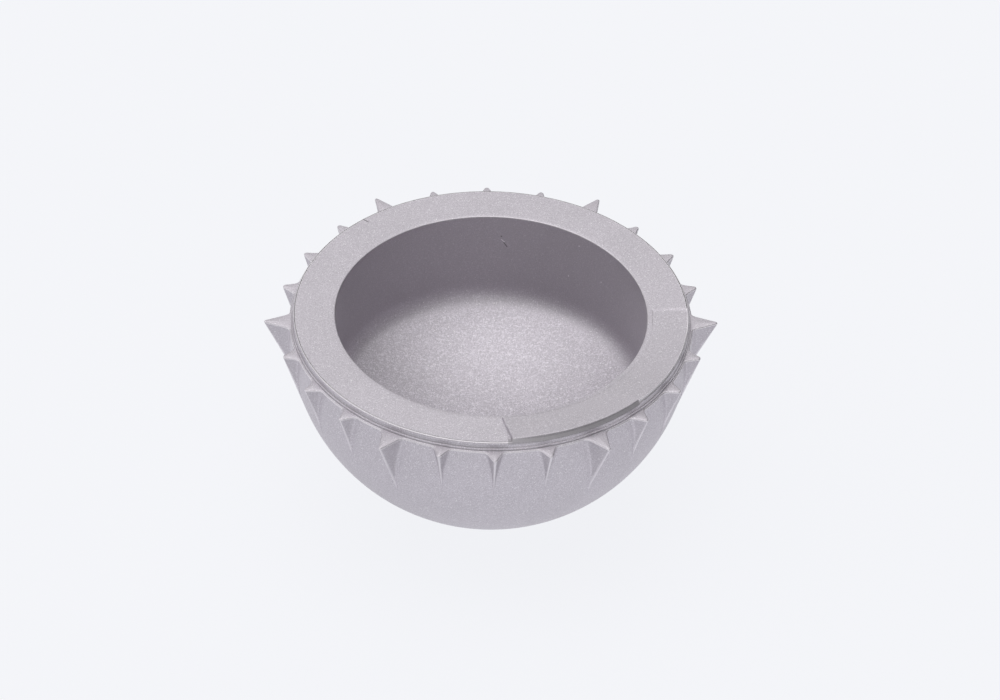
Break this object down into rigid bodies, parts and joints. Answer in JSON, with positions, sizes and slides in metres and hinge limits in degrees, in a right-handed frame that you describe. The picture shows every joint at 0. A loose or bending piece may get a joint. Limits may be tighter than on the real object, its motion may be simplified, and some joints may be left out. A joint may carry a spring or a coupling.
{
  "type": "acetabular cup",
  "caption": "Hemispherical cast metal hip socket shell with a straight round cavity, a dished floor, a flat stepped rim and tapering fins around its equator.",
  "frame": {"origin": "middle of the small flat at the dome's pole, on the cup's axis, where it touches the surface it rests on", "axes": "+Z along the cup's axis, out of its mouth; +X through one of the large fins"},
  "size_m": [0.0608, 0.0576, 0.0297],
  "materials": {
    "cast_alloy": "investment cast and grit blasted, matte pale grey with a fine sparkling grain"
  },
  "bodies": {
    "root": {"cup_shell": "cast_alloy"}
  },
  "joints": []
}
